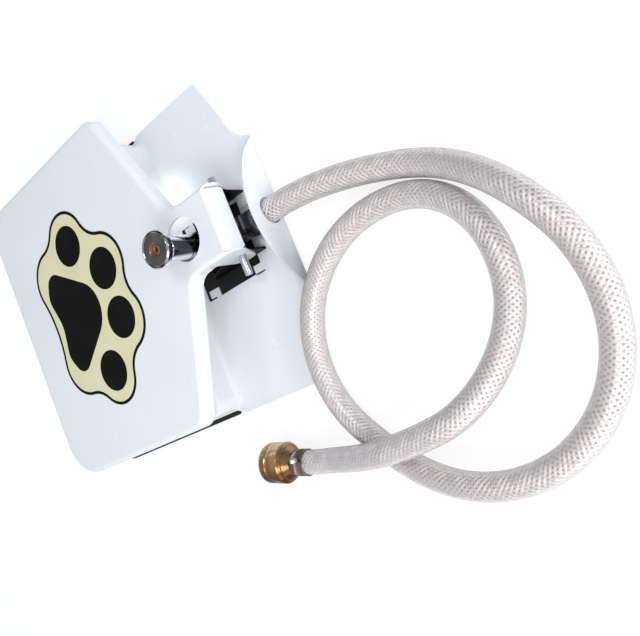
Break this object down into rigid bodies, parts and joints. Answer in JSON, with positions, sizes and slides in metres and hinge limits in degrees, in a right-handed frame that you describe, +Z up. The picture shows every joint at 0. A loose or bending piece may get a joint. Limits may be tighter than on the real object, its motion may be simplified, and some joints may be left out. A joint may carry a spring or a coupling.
{
  "type": "step-on dog water fountain",
  "caption": "Step-on dog drinking fountain: a paw pedal on a pressed base works a push valve, so an upright jet runs; braided hose with a garden-hose swivel nut.",
  "frame": {"origin": "centre of the base's footprint on the ground, under the rubber mat", "axes": "+Z up; +Y towards the upright and the hose; +X along the hinge pin, towards its long end. The pedal's front edge is at -Y."},
  "size_m": [0.3684, 0.4861, 0.08],
  "materials": {
    "white_coat": "gloss powder coat",
    "black_rubber": "matt",
    "dark_steel": "satin",
    "zinc_steel": "satin",
    "ink_black": "printed film",
    "ink_cream": "printed film",
    "pin_steel": "polished",
    "brass": "as turned",
    "brass_nut": "warm, slightly tarnished",
    "chrome": "polished",
    "brushed_steel": "turned",
    "clear_pvc": "clear with woven yarn"
  },
  "bodies": {
    "base": {"base": "white_coat", "base_mat": "black_rubber", "valve_bracket": "dark_steel", "bracket_screw_left": "zinc_steel", "bracket_screw_right": "zinc_steel", "body_screw_front": "zinc_steel", "body_screw_rear": "zinc_steel", "hinge_pin": "pin_steel", "pin_clip_left": "pin_steel", "pin_clip_inner": "pin_steel", "valve_body": "brass", "gland_nut": "brass", "plunger_spring": "zinc_steel", "stem_gasket": "black_rubber", "nozzle_stem": "chrome", "nozzle_head": "brushed_steel", "nozzle_insert": "brass", "inlet_barb": "brass", "inner_clamp": "dark_steel", "inner_clamp_screw": "zinc_steel", "hose": "clear_pvc", "outer_clamp": "dark_steel", "outer_clamp_screw": "zinc_steel", "hose_tail": "brass", "nut_washer": "black_rubber"},
    "pedal": {"pedal": "white_coat", "paw_border": "ink_black", "paw_field": "ink_cream", "paw_pads": "ink_black"},
    "plunger": {"plunger": "pin_steel", "plunger_seal": "black_rubber"},
    "nut": {"swivel_nut": "brass_nut"}
  },
  "joints": [
    {"name": "pedal_hinge", "type": "hinge", "parent": "base", "child": "pedal", "pos_m": [-0.006, 0.1124, 0.0278], "axis": [1, 0, 0], "range_deg": [0, 4.5], "stiffness_Nm_per_rad": 12, "springref_deg": -20.05},
    {"name": "plunger_slide", "type": "slide", "parent": "base", "child": "plunger", "axis": [0, 0, -1], "range_m": [0, 0.0042], "deforming": ["plunger_spring"]},
    {"name": "nut_swivel", "type": "hinge", "parent": "base", "child": "nut", "pos_m": [0.17406, 0.07674, 0.016], "axis": [-0.23, -0.9732, 0], "continuous": true}
  ],
  "couplings": [
    {"joint": "plunger_slide", "follows": "pedal_hinge", "m_per_rad": 0.0505}
  ]
}
